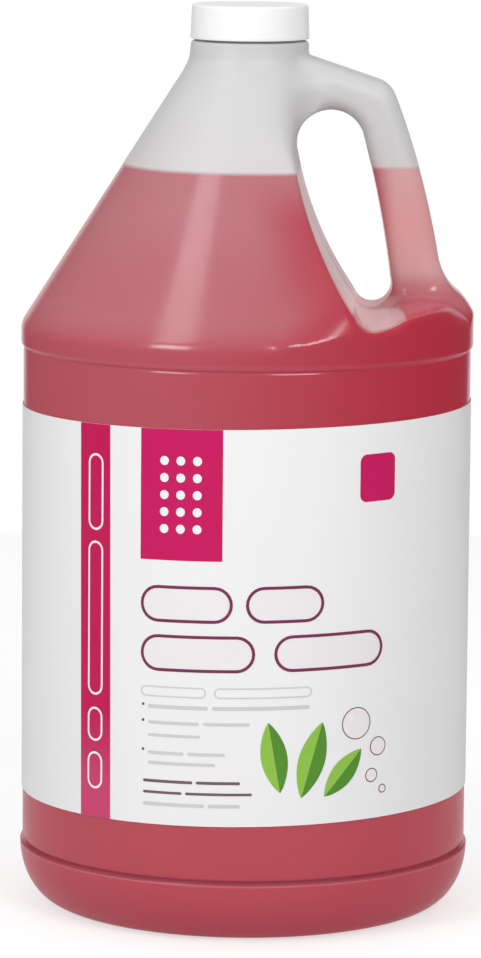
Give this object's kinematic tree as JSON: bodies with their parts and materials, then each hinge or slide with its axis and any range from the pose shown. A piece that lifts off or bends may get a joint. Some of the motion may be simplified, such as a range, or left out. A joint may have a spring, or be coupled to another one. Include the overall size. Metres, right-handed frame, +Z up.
{
  "type": "shampoo jug",
  "caption": "Round translucent one-gallon shampoo jug with hollow loop handle, conical shoulder, wrap label, liquid fill and screw cap.",
  "frame": {"origin": "centre of the foot, on the floor", "axes": "+Z up along the neck axis, +X towards the handle, -Y towards the front of the label"},
  "size_m": [0.1528, 0.1528, 0.3051],
  "materials": {
    "jug_wall": "translucent milky HDPE, satin",
    "cap_plastic": "white, semi-gloss",
    "liner_foam": "white foam",
    "label_film": "white film with magenta print",
    "shampoo_liquid": "clear red liquid"
  },
  "bodies": {
    "jug": {"jug_body": "jug_wall", "label": "label_film", "shampoo": "shampoo_liquid"},
    "liner": {"cap_liner": "liner_foam"},
    "closure": {"cap": "cap_plastic"}
  },
  "joints": [
    {"name": "cap_lift", "type": "slide", "parent": "jug", "child": "liner", "axis": [0, 0, 1], "range_m": [0, 0.0212]},
    {"name": "cap_turn", "type": "hinge", "parent": "liner", "child": "closure", "pos_m": [0, 0, 0.298], "axis": [0, 0, 1], "range_deg": [0, 1800]}
  ],
  "couplings": [
    {"joint": "cap_lift", "follows": "cap_turn", "m_per_rad": 0.0006737}
  ]
}
